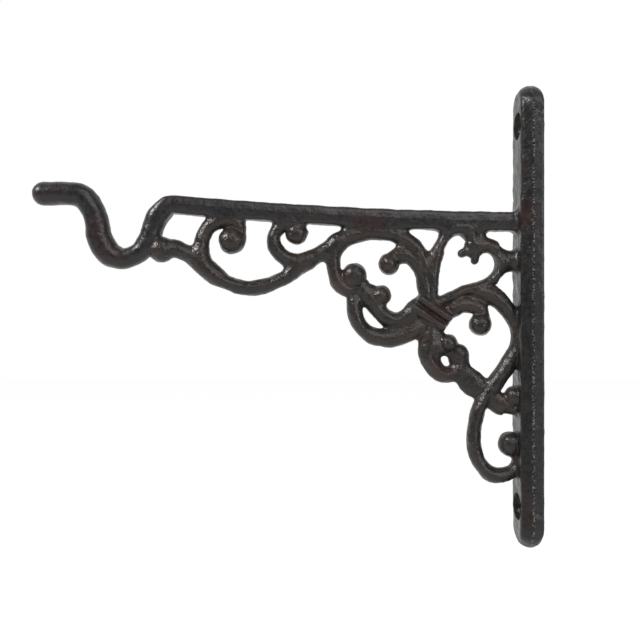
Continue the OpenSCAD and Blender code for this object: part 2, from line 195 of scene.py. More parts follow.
# %% Smooth paths
STEP = 0.45
FINE_STEPS, LEAST_STEPS = 40, 8


def even_rows(rows, step, least=1):
    """Rows at equal steps of length, measured on the first two columns, and the lengths of the given ones."""
    length = np.concatenate(([0], np.cumsum(np.hypot(*np.diff(rows[:, :2], axis=0).T))))
    even = np.linspace(0, length[-1], max(int(length[-1] / step), least) + 1)
    return np.stack([np.interp(even, length, column) for column in rows.T], 1), length


def smooth(points):
    """A smooth curve at equal steps of length, and the lengths at which it passes the given points.

    Between b and c, with a before and d after, a row is b + t/2 ((c - a) + t ((2a - 5b + 4c - d) +
    t (3b - a - 3c + d))) for t from 0 to 1. Every column of the rows is carried along: place, width,
    depth, form and crest.
    """
    p = np.asarray(points, float)
    full = np.vstack((2 * p[0] - p[1], p, 2 * p[-1] - p[-2]))
    a, b, c, d = (full[k : len(p) - 1 + k, None] for k in range(4))
    t = np.linspace(0, 1, FINE_STEPS, endpoint=False)[None, :, None]
    fine = b + t / 2 * ((c - a) + t * ((2 * a - 5 * b + 4 * c - d) + t * (3 * b - a - 3 * c + d)))
    rows, length = even_rows(np.vstack((fine.reshape(-1, p.shape[1]), p[-1])), STEP, LEAST_STEPS)
    return rows, length[::FINE_STEPS]


DEEPEST = 1.05


def scroll_rows(path):
    """A scroll path as rows of place, width, depth, form and crest.

    The depth goes with the square root of the width's share, up to DEEPEST times the usual depth.
    """
    p = np.asarray(path, float)
    depth = BAR_D * np.minimum(np.sqrt(p[:, 2]), DEEPEST)
    form, crest = np.full((2, len(p)), ((BAR_FORM,), (BAR_CREST,)))
    return np.column_stack((on_field(p[:, 0], p[:, 1]), BAR_W * p[:, 2], depth, form, crest))


top_rows, top_marks = smooth(scroll_rows(PATHS["top"]))
print("length of the wave and its arch in mm:", round(top_marks[-1], 1), "rows:", len(top_rows))

# %% [markdown]
# Members of the casting
#
# A member is one simple form that the casting is made of: a bar along a path, or a ball. For a bar
# the sections are superellipses. Their power decides how square they are: the arm is nearly a
# rectangle with soft corners, the hook is round, and the scroll bars have a slight ridge, which is
# what catches the light in a thin line along the middle of each scroll.

# %% Bars and balls
TUCK_REACH = 5.0


def make_bar(rows, tuck=(0.0, 0.0), caps=(None, None)):
    """A bar from rows of [x, z, width, depth, form, crest] at equal steps.

    tuck lowers its depth towards each end, by a share times exp(-(length / TUCK_REACH)^2). caps are the
    lengths of its two round ends, half the bar's width where nothing else is given.
    """
    centre = rows[:, :2]
    along = np.gradient(centre, axis=0)
    step = np.hypot(*np.diff(centre[:2], axis=0)[0])
    along /= np.linalg.norm(along, axis=1)[:, None]
    run = np.arange(len(rows)) * step
    both_ends = zip(tuck, (run, run[-1] - run))
    lower = 1 - sum(share * np.exp(-((far / TUCK_REACH) ** 2)) for share, far in both_ends)
    half_w = rows[:, 2] / 2
    caps = [half_w[end] if cap is None else cap for end, cap in zip((0, -1), caps)]
    return {
        "centre": centre, "along": along, "step": step, "half_w": half_w,
        "half_d": rows[:, 3] / 2 * lower, "power": 2 / rows[:, 4], "crest": rows[:, 5],
        "grow": np.gradient(half_w) / step, "norm": (centre**2).sum(1),
        "cap": np.where(run < run[-1] / 2, *caps),
    }


def make_ball(at, size, deep):
    """A ball on the field, from its place, its diameter and how much deeper it is than wide."""
    x, z = on_field(*at)
    return {"middle": np.array((x, 0, z)), "radius": size / 2, "stretch": np.array((1, deep, 1))}


print("knuckle's middle in mm:", np.round(make_ball(*BALLS["knuckle"], 1)["middle"], 1).tolist())

# %% The arm and its hook
ARM_SWELL = 0.4
arm_share = np.linspace(0, 1, int((ARM_LEN + ROOT) / STEP))
arm_height = ARM_H + ARM_SWELL + arm_share * (ARM_END_H - ARM_H)
arm_rows = np.full((len(arm_share), 6), (0, 0, 0, ARM_D, ARM_FORM, ARM_CREST))
arm_rows[:, 0] = -(PLATE_T - ROOT + arm_share * (ARM_LEN + ROOT))
arm_rows[:, 1] = ARM_Z + arm_height / 2 + rise(arm_share)
arm_rows[:, 2] = arm_height

LEG_OUT = HOOK_LEAD + HOOK_GAP
HOOK_PATH = [
    (0, 0, 0), (0.23 * HOOK_LEAD, -0.025 * HOOK_DROP, 0.2), (0.46 * HOOK_LEAD, -0.1 * HOOK_DROP, 0.5),
    (0.8 * HOOK_LEAD, -0.24 * HOOK_DROP, 0.75), (HOOK_LEAD, -0.4 * HOOK_DROP, 0.7),
    (HOOK_LEAD + 0.08 * HOOK_GAP, -0.65 * HOOK_DROP, 0.65),
    (HOOK_LEAD + 0.25 * HOOK_GAP, -0.89 * HOOK_DROP, 0.4),
    (HOOK_LEAD + 0.5 * HOOK_GAP, -HOOK_DROP, 0.55), (HOOK_LEAD + 0.67 * HOOK_GAP, -0.98 * HOOK_DROP, 0.95),
    (LEG_OUT - 0.18 * HOOK_GAP, -0.89 * HOOK_DROP, 1.3), (LEG_OUT - 0.03 * HOOK_GAP, -0.62 * HOOK_DROP, 1.3),
    (LEG_OUT, -0.42 * HOOK_DROP, 1.15), (LEG_OUT + 1.4, -0.2 * HOOK_DROP, 1),
    (LEG_OUT + 3, -0.25 * TIP_UP, 1), (LEG_OUT + 7, 0.65 * TIP_UP, 1), (LEG_OUT + 13, TIP_UP, 1),
    (LEG_OUT + TIP_LEN - ROD_D / 2, TIP_UP, 1),
]
hook = np.array(HOOK_PATH)
hook_rows = np.column_stack((
    -(PLATE_T + ARM_LEN) - hook[:, 0],
    ARM_Z + ARM_END_H / 2 + ARM_RISE + hook[:, 1],
    ARM_END_H + (ROD_D - ARM_END_H) * hook[:, 2],
    ARM_D + (ROD_D - ARM_D) * hook[:, 2],
    ARM_FORM + (ROD_FORM - ARM_FORM) * np.minimum(hook[:, 0] / HOOK_LEAD, 1),
    ARM_CREST * np.clip(1 - hook[:, 0] / HOOK_LEAD, 0, 1),
))
LEAD_ROWS = 6
hook_rows, hook_marks = smooth(np.vstack((arm_rows[-LEAD_ROWS], hook_rows)))
arm_end = len(arm_rows) - LEAD_ROWS + int(round(hook_marks[1] / STEP))
arm_rows = np.vstack((arm_rows[:-LEAD_ROWS], hook_rows))
print("rows of the arm:", arm_end, "rows with the hook:", len(arm_rows))

# %% The collar and the stub
collar_turn = np.radians(COLLAR_ANGLE)
collar_along = np.array((np.cos(collar_turn), -np.sin(collar_turn)))
collar_aside = np.array((np.sin(collar_turn), np.cos(collar_turn)))
RIB_END, RIB_WIDER, RIB_TAPER, WEB_DEPTH = 2.0, 1.12, 0.06, 0.6


def make_rib(side, depth):
    """One rib of the collar: a straight bar beside the collar's middle line, with round ends.

    At the share s of its half length, its width and depth are 1 - RIB_TAPER s^4 of the full ones.
    """
    half = COLLAR_LEN / 2 - RIB_END
    s = np.linspace(-half, half, int(2 * half / STEP) + 1)
    centre = on_field(*COLLAR_AT) + s[:, None] * collar_along + side * RIB_PITCH * collar_aside
    full = 1 - RIB_TAPER * (s / half) ** 4
    width = RIB_PITCH * RIB_WIDER * full
    rows = np.column_stack((centre, width, depth * full, np.full(len(s), ROD_FORM), 0 * s))
    return make_bar(rows, caps=(RIB_END, RIB_END))


STUB_ROWS = 24
stub_end = on_field(*STUB_AT)
stub_rows = np.full((STUB_ROWS, 6), (0, stub_end[1], STUB_D, STUB_D, ROD_FORM, 0))
stub_rows[:, 0] = np.linspace(-PLATE_T + ROOT, stub_end[0], STUB_ROWS)
print("length of the stub in mm:", round(stub_rows[0, 0] - stub_rows[-1, 0], 1))

# %% All members, and the pieces they belong to
BUTT, TUCK = 0.6, 0.18
arch_from = int(round(top_marks[ARCH_INDEX] / STEP))
members = {
    "arm": make_bar(arm_rows, caps=(BUTT, ROD_D / 2)),
    "upper_rib": make_rib(0.5, COLLAR_D),
    "collar_web": make_rib(0, WEB_DEPTH * COLLAR_D),
    "lower_rib": make_rib(-0.5, COLLAR_D),
    "top": make_bar(top_rows, (0, TUCK)),
    "stub": make_bar(stub_rows, caps=(BUTT, BUTT)),
}
for name, path in PATHS.items():
    if name != "top":
        rows = smooth(scroll_rows(path))[0]
        rows[:, 3] *= BAR_DEPTHS.get(name, 1)
        rows[:, 5] = BAR_CRESTS.get(name, BAR_CREST)
        members[name] = make_bar(rows, (TUCK, TUCK), (None, BUTT if name == "knob" else None))
for name, (at, size) in BALLS.items():
    members[name] = make_ball(at, size, BALL_DEPTHS.get(name, 1))

NODES = {
    "arm_bar": [("arm", 0, arm_end)],
    "hook_rod": [("arm", arm_end, None)],
    "collar": ["upper_rib", "collar_web", "lower_rib"],
    "wave_scroll": [("top", 0, arch_from), "knuckle"],
    "arch_scroll": [("top", arch_from, None)],
    "bowl_scroll": ["bowl", "bowl_ball"],
    "crook_scroll": ["crook", "crook_ball"],
    "hanging_scroll": ["hanging", "hanging_ball"],
    "knob_scroll": ["knob", "knob_neck", "knob_ball"],
    "outer_scroll": ["outer"],
    "bud_scroll": ["bud", "bud_ball"],
    "heart_left": ["left", "left_tip"],
    "heart_right": ["right", "right_tip"],
    "heart_stem": ["stem"],
    "wall_stub": ["stub"],
    "spine_scroll": ["spine", "foot_ball"],
    "drop_scroll": ["drop", "drop_ball"],
    "rest_scroll": ["rest", "rest_ball"],
    "ring_scroll": ["ring", "web", "ring_ball"],
    "ring_strut": ["strut"],
}
print("members:", len(members), "pieces:", len(NODES) + 1)

# %% [markdown]
# Distance to a member
#
# To make fillets, each surface must know how far the other members are. For a ball that is simple.
# For a bar, the nearest row of its path is found first, and the section there tells the rest. The
# section's own size function N is 1 on its outline, so the distance is about (N - 1) divided by the
# length of N's slope. The slope itself is the direction straight away from the bar.

# %% Distance functions
CHUNK = 20000


def bar_gap(points, bar):
    """Distance outside a bar, and the unit direction away from it.

    With u across, y deep and v past the end, each divided by the half size there, N is the p-th root
    of |u|^p + |y|^p + |v|^p, and the distance is (N - 1) / |slope of N|. A crest c makes the half
    depth at u smaller by the share c |u|.
    """
    if len(points) > CHUNK:
        parts = [bar_gap(points[k : k + CHUNK], bar) for k in range(0, len(points), CHUNK)]
        return tuple(map(np.concatenate, zip(*parts)))
    flat = points[:, ::2]
    near = np.argmin(bar["norm"] - 2 * flat @ bar["centre"].T, axis=1)
    along = bar["along"][near]
    aside = np.stack((-along[:, 1], along[:, 0]), 1)
    offset = flat - bar["centre"][near]
    run = (offset * along).sum(1)
    inner = np.clip(run, -bar["step"] / 2, bar["step"] / 2)
    half = np.stack((bar["half_w"][near] + bar["grow"][near] * inner, bar["half_d"][near], bar["cap"][near]))
    place = np.stack(((offset * aside).sum(1), points[:, 1], run - inner))
    p = bar["power"][near]
    size = np.abs(place) / half + 1e-6
    fall = bar["crest"][near]
    lower = 1 - fall * np.minimum(size[0], 1)
    size[1] /= lower
    half[1] = half[1] * lower
    total = (size**p).sum(0)
    slope = np.sign(place) * size ** (p - 1) / half * total ** (1 / p - 1)
    tilt = size[1] ** p * fall / (lower * half[0]) * total ** (1 / p - 1)
    slope[0] += np.where(size[0] < 1, np.sign(place[0]) * tilt, 0)
    steep = np.sqrt((slope**2).sum(0))
    u, y, v = slope / steep
    way = np.stack((u * aside[:, 0] + v * along[:, 0], y, u * aside[:, 1] + v * along[:, 1]), 1)
    return (total ** (1 / p) - 1) / steep, way


def ball_gap(points, ball):
    """Distance outside a ball, and the unit direction away from it.

    With r the distance from its middle after its stretch in depth is taken out, and R its radius, the
    distance is (r - R) / |slope of r|.
    """
    offset = (points - ball["middle"]) / ball["stretch"]
    far = np.linalg.norm(offset, axis=1) + 1e-9
    slope = offset / ball["stretch"] / far[:, None]
    steep = np.linalg.norm(slope, axis=1)
    return (far - ball["radius"]) / steep, slope / steep[:, None]


PLATE_TOP, FACE_HALF, EDGE_UP = 10.8, 9.0, 5.0
BEVEL = np.array((PLATE_TOP - EDGE_UP, PLATE_W / 2 - FACE_HALF))
BEVEL /= np.linalg.norm(BEVEL)


def plate_gap(points, _plate):
    """Distance outside the plate, and the direction away from it.

    It is the larger of the distances from the flat face, -x - PLATE_TOP, and from the bevel beside it.
    At the ends, off is measured from the middle of the round end.
    """
    far_end = np.clip(np.abs(points[:, 2]) - (PLATE_H - PLATE_W) / 2, 0, None)
    off = np.hypot(points[:, 1], far_end)
    out = np.stack((points[:, 1], far_end * np.sign(points[:, 2])), 1) / (off + 1e-9)[:, None]
    above = -points[:, 0] - PLATE_TOP
    bevel = BEVEL[0] * (off - FACE_HALF) + BEVEL[1] * above
    side, up = np.where(bevel > above, BEVEL[0], 0), np.where(bevel > above, BEVEL[1], 1)
    return np.maximum(above, bevel), np.stack((-up, side * out[:, 0], side * out[:, 1]), 1)


members["plate"] = {}


def gap(points, name):
    """Distance and direction away from one member, by its kind."""
    member = members[name]
    kind = plate_gap if name == "plate" else ball_gap if "radius" in member else bar_gap
    return kind(points, member)


knuckle_far = gap(np.array([(-52.5, 0.0, 1.7)]), "knuckle")[0][0]
print("from the collar's middle to the knuckle in mm:", round(knuckle_far, 1))

# %% [markdown]
# One field for the whole casting
#
# Two members join by a smooth minimum: where their distances differ by less than a softness k, the
# smaller one is lowered by a quarter of k times the square of how close they are. On the surface that
# is a fillet. Branches of the casting have a wide one, about 4 mm, and wider still where thin bars
# leave the arm. Bars that run side by side keep a groove between them, and a ball keeps its outline.

# %% The blended field
BRANCH, WIDE, SLIGHT, CLOSE, GROOVE, BALL_SOFT, RIB_SOFT = 4.0, 6.0, 2.8, 1.9, 1.3, 1.4, 1.0
PAIRS = {
    WIDE: ["left arm"],
    SLIGHT: ["spine drop", "stem arm", "stem right", "left right", "knob outer", "bowl arm", "crook arm"],
    CLOSE: ["spine plate", "ring strut", "strut spine", "rest strut"],
    GROOVE: ["knob ring", "outer ring", "left bud", "right drop", "right spine",
             "bud knob", "hanging outer", "stem left", "rest spine"],
}
SOFTNESS = {frozenset(pair.split()): soft for soft, pairs in PAIRS.items() for pair in pairs}
REACH = WIDE + 2.0


def softness(a, b):
    """How wide the fillet between two members is, in millimetres."""
    if {a, b} & set(NODES["collar"]):
        return RIB_SOFT
    if "radius" in members[a] or "radius" in members[b]:
        return BALL_SOFT
    return SOFTNESS.get(frozenset((a, b)), BRANCH)


print("fillets in mm: branch", softness("top", "arm"), "ball", softness("bowl", "bowl_ball"))

# %% Distance to the whole casting
FAR = 99.0


def field(points, names, near):
    """The casting's distance, its slope, and the distances of the named members.

    It is the least, over all pairs, of min(a, b) - k/4 h h, where h = 1 - |a - b| / k, at least 0. near
    says for each name which points are close enough to it to matter.
    """
    gaps = np.full((len(names), len(points)), FAR)
    ways = np.zeros((len(names), len(points), 3))
    for row, name in enumerate(names):
        gaps[row, near[row]], ways[row, near[row]] = gap(points[near[row]], name)
    value = gaps.min(0)
    way = ways[gaps.argmin(0), np.arange(len(points))]
    for i in range(len(names)):
        for j in range(i):
            k = softness(names[i], names[j])
            at = np.flatnonzero(near[i] & near[j] & (np.abs(gaps[i] - gaps[j]) < k))
            first, second = gaps[i, at], gaps[j, at]
            h = 1 - np.abs(first - second) / k
            both = np.minimum(first, second) - k / 4 * h * h
            share = np.where(first < second, 1 - h / 2, h / 2)[:, None]
            better = both < value[at]
            at, share = at[better], share[better]
            value[at] = both[better]
            way[at] = share * ways[i, at] + (1 - share) * ways[j, at]
    return value, way, gaps


def out_of_reach(member, low, high):
    """Whether a bar or ball lies wholly outside the box from low to high."""
    if "middle" in member:
        centre, pad = member["middle"][None], member["radius"]
    else:
        centre, pad, low, high = member["centre"], member["half_w"].max(), low[::2], high[::2]
    return (centre.max(0) + pad < low).any() or (centre.min(0) - pad > high).any()


hook_box = np.array([(-250, -9, -99), (-182, 9, 99)])
print("members by the hook:", [n for n, m in members.items() if m and not out_of_reach(m, *hook_box)])

# %% Settling on the field
TURNS, STRIDE, LEAST_SLOPE = 9, 0.5, 0.35
SINK = (0.06, 0.12)


def settle(points, own):
    """Moves a member's surface onto the blended field, and returns its points and outward directions.

    Each turn moves a point by (wanted level - field) along the field's slope, STRIDE at most. The wanted
    level is 0 on the member's own side of a joint. At a distance e past the middle of the joint it is
    -(SINK[0] e^2 + SINK[1] e^3), so there the neighbour's surface takes over, and a point that starts
    lower than that stays where it is.
    """
    points = points.copy()
    way = gap(points, own)[1]
    low, high = points.min(0) - REACH, points.max(0) + REACH
    names, near = [own], [np.ones(len(points), bool)]
    for name in members:
        if name != own and (name == "plate" or not out_of_reach(members[name], low, high)):
            close = gap(points, name)[0] < REACH
            if close.any():
                names.append(name)
                near.append(close)
    if len(names) == 1:
        return points, way
    touched = np.any(near[1:], axis=0)
    near = [close[touched] for close in near]
    moving = points[touched]
    start = None
    for _turn in range(TURNS):
        value, slope, gaps = field(moving, names, near)
        start = value if start is None else start
        past = np.clip(gaps[0] - gaps[1:].min(0), 0, None)
        wanted = np.where(past > 0, np.maximum(-(SINK[0] * past**2 + SINK[1] * past**3), start), 0)
        steep = np.maximum(np.linalg.norm(slope, axis=1), LEAST_SLOPE)
        stride = np.clip((wanted - value) / steep, -STRIDE, STRIDE)
        moving = moving + (stride / steep)[:, None] * slope
    slope = field(moving, names, near)[1]
    points[touched] = moving
    way[touched] = slope / (np.linalg.norm(slope, axis=1)[:, None] + 1e-9)
    return points, way


moved = settle(np.array([(-30.0, 0.0, 40.5)]), "arm")[0][0]
print("a point under the arm settles at, in mm:", np.round(moved, 2).tolist())

# %% [markdown]
# Surfaces
#
# Every member gets a surface on a grid: rings along its path, and an equal number of points round
# each ring. A rounded cap with a single point closes each end. The balls are rings as well, on a line
# across the ball. All of them share one rule for the faces, so one function makes them all, and the
# mesh is closed by construction.

# %% Grids
SIDES, CAP_RINGS, LEAST_RINGS = 56, 8, 16
TURN = np.arange(SIDES) * 2 * np.pi / SIDES


def bar_grid(bar):
    """Rings of a bar with its caps, and its two end points.

    A ring's point at angle f is (half width times cos f, half depth times sin f) divided by the p-th
    root of |cos f|^p + |sin f|^p, and its depth is then lowered by the crest's share. A cap's ring at
    share s past the end shrinks by the p-th root of 1 - s^p.
    """
    lift = np.sin(np.linspace(0, np.pi / 2, CAP_RINGS + 2)[1:-1])
    rows = np.arange(len(bar["centre"]))
    index = np.concatenate((np.zeros(CAP_RINGS, int), rows, np.full(CAP_RINGS, rows[-1])))
    past = np.concatenate((-lift[::-1], np.zeros(len(rows)), lift))
    p = bar["power"][index][:, None]
    shrink = (1 - np.abs(past[:, None]) ** p) ** (1 / p)
    round_size = (np.abs(np.cos(TURN)) ** p + np.abs(np.sin(TURN)) ** p) ** (-1 / p)
    u, y = (f(TURN) * round_size * shrink for f in (np.cos, np.sin))
    across = bar["half_w"][index][:, None] * u
    deep = bar["half_d"][index][:, None] * y * (1 - bar["crest"][index][:, None] * np.abs(u))
    along = bar["along"][index]
    centre = bar["centre"][index] + along * (past * bar["cap"][index])[:, None]
    x = centre[:, 0, None] - along[:, 1, None] * across
    z = centre[:, 1, None] + along[:, 0, None] * across
    ends = [bar["centre"][k] + sign * bar["along"][k] * bar["cap"][k] for k, sign in ((0, -1), (-1, 1))]
    return np.stack((x, deep, z), -1), [np.array((e[0], 0, e[1])) for e in ends]


def ball_grid(ball):
    """Rings of a ball on a line along Y, and its end points.

    At angle f from its end, a ring's radius is r sin f.
    """
    r = ball["radius"]
    count = max(int(np.pi * r / STEP), LEAST_RINGS)
    lean = np.linspace(0, np.pi, count)[1:-1, None]
    y = -r * np.cos(lean) + 0 * TURN
    grid = np.stack((r * np.sin(lean) * np.cos(TURN), y, r * np.sin(lean) * np.sin(TURN)), -1)
    tip = np.array((0, r, 0)) * ball["stretch"]
    return grid * ball["stretch"] + ball["middle"], [ball["middle"] - tip, ball["middle"] + tip]


def grid_faces(rings, sides):
    """Faces of a closed grid: four-sided ones between the rings, and a fan of triangles at each end point."""
    i = np.arange(rings - 1)[:, None] * sides
    k = np.arange(sides)[None]
    nxt = (k + 1) % sides
    quads = np.stack((i + k, i + sides + k, i + sides + nxt, i + nxt), -1).reshape(-1, 4)
    first, last = rings * sides, rings * sides + 1
    k, nxt = k[0], nxt[0]
    start = np.stack((np.full(sides, first), k, nxt), -1)
    base = (rings - 1) * sides
    end = np.stack((np.full(sides, last), base + nxt, base + k), -1)
    return quads, np.vstack((start, end))


def volume(points, quads, tris):
    """Volume inside a closed surface: the sum of the tetrahedra from the origin to each triangle."""
    tri = np.vstack((quads[:, :3], quads[:, [0, 2, 3]], tris))
    a, b, c = (points[tri[:, k]] for k in range(3))
    return (a * np.cross(b, c)).sum() / 6


def make_mesh(name, points, quads, tris):
    """Puts points in millimetres and their faces into a new object at the origin, as whole arrays."""
    mesh = bpy.data.meshes.new(name)
    corners = np.concatenate((quads.ravel(), tris.ravel()))
    starts = np.concatenate((np.arange(len(quads)) * 4, len(quads) * 4 + np.arange(len(tris)) * 3))
    mesh.vertices.add(len(points))
    mesh.vertices.foreach_set("co", (points * MM).ravel())
    mesh.loops.add(len(corners))
    mesh.loops.foreach_set("vertex_index", corners.astype(np.int32))
    mesh.polygons.add(len(starts))
    mesh.polygons.foreach_set("loop_start", starts.astype(np.int32))
    mesh.update(calc_edges=True)
    mesh.shade_smooth()
    piece = bpy.data.objects.new(name, mesh)
    scene.collection.objects.link(piece)
    return piece


print("rings and sides of the knuckle:", *ball_grid(members["knuckle"])[0].shape[:2])

# %% [markdown]
# The skin of a sand casting
#
# Damp sand never gives a perfect face: the iron comes out with low swells a few millimetres wide, and
# a finer grain on top. Here both are real moves of the surface, so they show in the outline too. They
# are sums of waves in many directions, which is cheap and the same on both sides of a joint. The two
# halves of the mould leave a faint line all round, at half the depth, which was filed but not away.

# %% Uneven skin
rng = np.random.default_rng(11)


def wave_set(size, count=22):
    """Waves in random directions, with lengths spread round size, as (vectors, shifts)."""
    way = rng.normal(size=(count, 3))
    way /= np.linalg.norm(way, axis=1)[:, None]
    length = size * rng.uniform(0.7, 1.5, count)
    return way * (2 * np.pi / length)[:, None], rng.uniform(0, 2 * np.pi, count)


SWELLS, GRAIN, SEAM_WEAR = wave_set(9.0), wave_set(2.6), wave_set(14.0)


def waves(points, waves_of):
    """Sum of sines of (vector . point + shift), scaled so that its usual size is 1."""
    vectors, shifts = waves_of
    return np.sin(points @ vectors.T + shifts).sum(1) * np.sqrt(2 / len(shifts))


SEAM_HALF, SEAM_USUAL, SEAM_MOST = 0.45, 0.6, 1.4


def roughen(points, way, swell, grain, seam):
    """Moves points along their outward directions by swells, grain and the mould's seam, in millimetres.

    The seam is exp(-(y / SEAM_HALF)^2) high, times the share of it that wear has left, which varies along the
    way.
    """
    wear_and_ridge_light = np.clip(SEAM_USUAL * (1 + waves(points, SEAM_WEAR)), 0, SEAM_MOST)
    lift = swell * waves(points, SWELLS) + grain * waves(points, GRAIN)
    lift += seam * wear_and_ridge_light * np.exp(-((points[:, 1] / SEAM_HALF) ** 2))
    return points + lift[:, None] * way


def bump(points, way, at, size, height):
    """A smooth bump, or a dent with a negative height: height times exp(-(distance / size)^2)."""
    far = ((points - at) ** 2).sum(1) / size**2
    return points + (height * np.exp(-far))[:, None] * way


# %% Surfaces of all members
ARM_SKIN, SCROLL_SKIN = (0.08, 0.025, 0.08), (0.11, 0.04, 0.12)
BURR_AT, BURR_SIZE, BURR_HEIGHT = (-213.6, 0.0, 58.8), 1.6, 0.5

surfaces = {}
for name, member in members.items():
    if name == "plate":
        continue
    grid, ends = (ball_grid if "radius" in member else bar_grid)(member)
    own, way = settle(np.vstack((grid.reshape(-1, 3), ends)), name)
    if name == "arm":
        own = bump(own, way, BURR_AT, BURR_SIZE, BURR_HEIGHT)
    own = roughen(own, way, *(ARM_SKIN if name == "arm" else SCROLL_SKIN))
    surfaces[name] = own[:-2].reshape(grid.shape), own[-2:]
print("surfaces:", len(surfaces))

# %% Pieces from the surfaces
ROUND_EDGE = np.radians(60)


def stretch(name, first=0, last=None):
    """The rings of a member's surface from one row of its path to another, and the middles of both ends."""
    rings, ends = surfaces[name]
    low = CAP_RINGS + first if first else 0
    high = CAP_RINGS + last + 1 if last else len(rings)
    start = rings[low].mean(0) if first else ends[0]
    end = rings[high - 1].mean(0) if last else ends[1]
    return rings[low:high], np.array((start, end))


pieces = {}
total = 0.0
for node, parts in NODES.items():
    points, quads, tris, base = [], [], [], 0
    for part in parts:
        rings, ends = stretch(*((part,) if isinstance(part, str) else part))
        own = np.vstack((rings.reshape(-1, 3), ends))
        q, t = grid_faces(*rings.shape[:2])
        total += volume(own, q, t)
        points.append(own)
        quads.append(q + base)
        tris.append(t + base)
        base += len(own)
    pieces[node] = make_mesh(node + "_cast", np.vstack(points), np.vstack(quads), np.vstack(tris))
    pieces[node].data.set_sharp_from_angle(angle=ROUND_EDGE)
print("pieces:", len(pieces), "volume of their shells in cm3:", round(total / 1000, 1))

# %% [markdown]
# The wall plate
#
# The plate has straight sides and round ends, a flat face and a steep bevel beside it that ends in a
# ridge halfway down its side. Half of its section, carried round the middle line, gives the whole
# skin: straight along the sides, turning at the ends, where the bevel grows rounder. The two halves
# meet in the middle, where doubled points are merged. The front settles on the same field as the
# scrolls, so every root has its fillet. The screw holes are cut with a turned cutter, and their
# recesses sit a little off their middle, as they do where a casting was sunk by hand.

# %% Half of the plate's section
PLATE_STEP = 0.6
BEVEL_CORNER = [(0.75, 1.3), (0.3, 0.65), (-0.3, 0.25), (-1.2, 0.05)]
corner_turn = np.radians(np.linspace(-90, 0, 6))
corner = PLATE_BACK_R * np.stack((np.cos(corner_turn), np.sin(corner_turn)), 1)
half_section = even_rows(np.vstack((
    (0, 0),
    corner + (PLATE_W / 2 - PLATE_BACK_R, PLATE_BACK_R),
    (PLATE_W / 2, EDGE_UP - 0.3),
    (PLATE_W / 2 - 0.2, EDGE_UP + 0.35),
    [(FACE_HALF + across, PLATE_TOP - down) for across, down in BEVEL_CORNER],
    (0, PLATE_TOP),
)), PLATE_STEP)[0]
print("points of the half section:", len(half_section))

# %% Skin of the plate
STRAIGHT = (PLATE_H - PLATE_W) / 2
END_LIFT, END_ROUND, END_FADE = 4.0, 6.0, 6
side_z = np.linspace(-STRAIGHT, STRAIGHT, int(2 * STRAIGHT / PLATE_STEP) + 1)
end_turn = np.linspace(0, np.pi, int(np.pi * PLATE_W / 2 / PLATE_STEP) + 1)[1:-1]
at_side, at_end = np.ones(len(side_z)), np.full(len(end_turn), STRAIGHT)
middle_z = np.concatenate((side_z, at_end, side_z[::-1], -at_end))
out_y = np.concatenate((at_side, np.cos(end_turn), -at_side, -np.cos(end_turn)))
out_z = np.concatenate((0 * at_side, np.sin(end_turn), 0 * at_side, -np.sin(end_turn)))
off, above = half_section[:, 0, None], half_section[:, 1, None]
back_r = PLATE_BACK_R + END_LIFT * out_z**2
past_edge = np.clip(off - (PLATE_W / 2 - back_r), 0, back_r)
above = np.maximum(above + 0 * out_y, back_r - np.sqrt(back_r**2 - past_edge**2))
past_face = np.clip(off - (PLATE_W / 2 - END_ROUND), 0, END_ROUND) / END_ROUND
full = EDGE_UP + (PLATE_TOP - EDGE_UP) * np.sqrt(1 - past_face**2)
above = np.where(above > EDGE_UP, above + (full - above) * out_z**END_FADE, above)
plate_points = np.stack((-above, off * out_y, middle_z + off * out_z), -1).reshape(-1, 3)
slope = np.gradient(half_section, axis=0)
slope /= np.linalg.norm(slope, axis=1)[:, None]
sideways = np.where(off > 0, slope[:, 1, None], 0)
plate_way = np.stack((slope[:, 0, None] + 0 * out_y, sideways * out_y, sideways * out_z), -1).reshape(-1, 3)
front = plate_points[:, 0] < -(EDGE_UP + 1)
on_wall = plate_points[:, 0] > -0.01
plate_points[front] = settle(plate_points[front], "plate")[0]
print("points of the skin:", len(plate_points), "of them settled:", int(front.sum()))

# %% Swells, pits and dents of the plate
PLATE_SKIN, PLATE_INSET = (0.09, 0.025, 0.0), 0.12
PIT_COUNT = 110
plate_points = roughen(plate_points, plate_way, *PLATE_SKIN)
pit_at = plate_points[rng.integers(0, len(plate_points), PIT_COUNT)]
for at, size, depth in zip(pit_at, rng.uniform(0.5, 1.3, PIT_COUNT), rng.uniform(0.06, 0.16, PIT_COUNT)):
    plate_points = bump(plate_points, plate_way, at, size, -depth)
DENTS = [
    ((-4.4, -11.8, -93.0), 1.8, -1.3), ((-1.8, -12.0, -94.4), 1.5, -1.3), ((-0.8, -12.0, 97.0), 2.2, -1.1),
    ((-3.0, -11.8, -51.0), 2.2, -0.6), ((-9.0, 7.0, 60.0), 2.0, -0.4), ((-8.0, 10.5, -30.0), 2.0, -0.5),
]
for at, size, height in DENTS:
    plate_points = bump(plate_points, plate_way, at, size, height)

plate_points -= PLATE_INSET * plate_way
plate_points[:, 0] = np.where(on_wall, 0, np.minimum(plate_points[:, 0], 0))
plate_points[:, 1:] = np.clip(plate_points[:, 1:], (-PLATE_W / 2, -PLATE_H / 2), (PLATE_W / 2, PLATE_H / 2))
print("pits:", PIT_COUNT, "dents:", len(DENTS))

